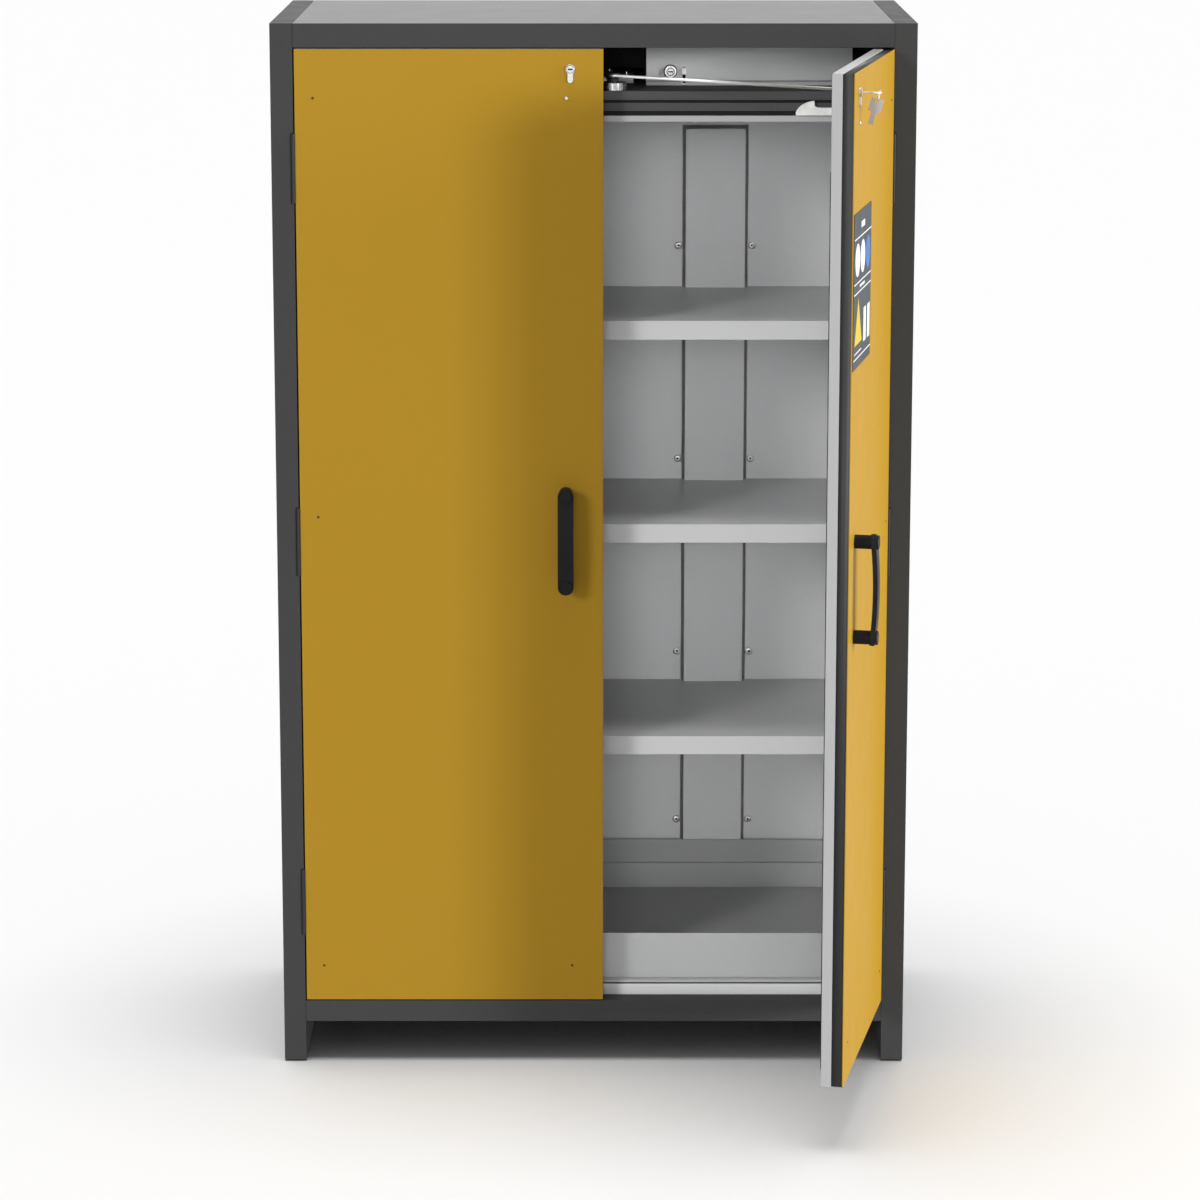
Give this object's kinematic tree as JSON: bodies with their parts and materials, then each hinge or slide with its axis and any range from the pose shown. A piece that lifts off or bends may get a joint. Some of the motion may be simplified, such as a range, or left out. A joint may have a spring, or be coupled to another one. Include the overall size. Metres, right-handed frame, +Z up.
{
  "type": "flammable storage cabinet",
  "caption": "Free-standing fire-resistant storage cabinet with hinged doors, shelves, a sump tray, a door closer and a release knob.",
  "frame": {"origin": "on the floor, below the centre of the box around the cabinet with its right door standing open", "axes": "+Z up, -Y out of the cabinet's front, +X to the right seen from the front"},
  "size_m": [1.164, 1.1126, 1.948],
  "materials": {
    "door_paint": "semi-gloss powder coat",
    "frame_paint": "fine satin powder coat",
    "lining": "smooth laminate",
    "sheet_grey": "smooth powder coat",
    "dark_board": "matt",
    "black_plastic": "satin moulded",
    "hinge_steel": "dark burnished",
    "bright_steel": "bright",
    "white_plastic": "smooth moulded",
    "label": "printed"
  },
  "bodies": {
    "cabinet": {"side_panel_left": "frame_paint", "side_panel_right": "frame_paint", "roof_panel": "frame_paint", "bottom_rail": "frame_paint", "floor_panel": "frame_paint", "back_panel": "frame_paint", "mechanism_deck": "dark_board", "ceiling_board": "dark_board", "lining_ceiling": "lining", "lining_left": "lining", "lining_right": "lining", "lining_back": "lining", "lining_floor": "lining", "duct_cover_left": "lining", "duct_cover_right": "lining", "shelf_1": "sheet_grey", "shelf_2": "sheet_grey", "shelf_3": "sheet_grey", "sump_tray": "sheet_grey", "sump_insert": "sheet_grey", "levelling_foot_1": "black_plastic", "levelling_foot_2": "black_plastic", "levelling_foot_3": "black_plastic", "levelling_foot_4": "black_plastic", "mechanism_housing": "sheet_grey", "closer_body": "sheet_grey", "hinge_frame_leaf_left_1": "hinge_steel", "hinge_frame_leaf_left_2": "hinge_steel", "hinge_frame_leaf_left_3": "hinge_steel", "hinge_frame_leaf_right_1": "hinge_steel", "hinge_frame_leaf_right_2": "hinge_steel", "hinge_frame_leaf_right_3": "hinge_steel"},
    "left_door": {"door_face_left": "door_paint", "door_core_left": "dark_board", "door_pan_left": "sheet_grey", "handle_left": "black_plastic", "lock_cylinder_left": "bright_steel", "hinge_door_leaf_left_1": "hinge_steel", "hinge_door_leaf_left_2": "hinge_steel", "hinge_door_leaf_left_3": "hinge_steel"},
    "right_door": {"door_face_right": "door_paint", "door_core_right": "dark_board", "door_pan_right": "sheet_grey", "handle_right": "black_plastic", "lock_cylinder_right": "bright_steel", "label_plate": "label", "closer_bracket": "bright_steel", "hinge_door_leaf_right_1": "hinge_steel", "hinge_door_leaf_right_2": "hinge_steel", "hinge_door_leaf_right_3": "hinge_steel"},
    "left_lock": {"lock_plug_left": "bright_steel"},
    "right_lock": {"lock_plug_right": "bright_steel", "key": "bright_steel"},
    "spare": {"key_ring": "bright_steel", "spare_key": "bright_steel"},
    "arm": {"closer_arm": "hinge_steel", "closer_roller": "bright_steel"},
    "rod": {"closer_rod": "bright_steel"},
    "knob": {"release_knob": "bright_steel"},
    "tab": {"hold_open_tab": "white_plastic"}
  },
  "joints": [
    {"name": "left_door_hinge", "type": "hinge", "parent": "cabinet", "child": "left_door", "pos_m": [-0.5424, -0.04465, 0.999], "axis": [0, 0, -1], "range_deg": [0, 85]},
    {"name": "right_door_hinge", "type": "hinge", "parent": "cabinet", "child": "right_door", "pos_m": [0.5424, -0.04465, 0.999], "axis": [0, 0, 1], "range_deg": [-78.6, 6.4]},
    {"name": "closer_arm_turn", "type": "hinge", "parent": "cabinet", "child": "arm", "pos_m": [0.03, 0.20635, 1.8395], "axis": [0, 0, 1], "range_deg": [-88.76, 7.25]},
    {"name": "closer_rod_turn", "type": "hinge", "parent": "right_door", "child": "rod", "pos_m": [0.44211, -0.25365, 1.848], "axis": [0, 0, 1], "range_deg": [-7.5, 91.93]},
    {"name": "left_lock_turn", "type": "hinge", "parent": "left_door", "child": "left_lock", "pos_m": [-0.0418, -0.04365, 1.866], "axis": [0, -1, 0], "range_deg": [0, 90]},
    {"name": "right_lock_turn", "type": "hinge", "parent": "right_door", "child": "right_lock", "pos_m": [0.44996, -0.49802, 1.866], "axis": [0.9803, -0.1977, 0], "range_deg": [0, 90]},
    {"name": "spare_key_swing", "type": "hinge", "parent": "right_lock", "child": "spare", "pos_m": [0.4828, -0.50465, 1.866], "axis": [0.1977, 0.9803, 0], "range_deg": [-36, 4]},
    {"name": "release_knob_turn", "type": "hinge", "parent": "cabinet", "child": "knob", "pos_m": [0.1414, 0.12235, 1.848], "axis": [0, -1, 0], "range_deg": [0, 90]},
    {"name": "hold_open_slide", "type": "slide", "parent": "cabinet", "child": "tab", "axis": [0, 0, -1], "range_m": [0, 0.016]}
  ],
  "couplings": [
    {"joint": "closer_arm_turn", "follows": "right_door_hinge", "ratio": 1.129},
    {"joint": "closer_rod_turn", "follows": "right_door_hinge", "ratio": -1.1694}
  ]
}
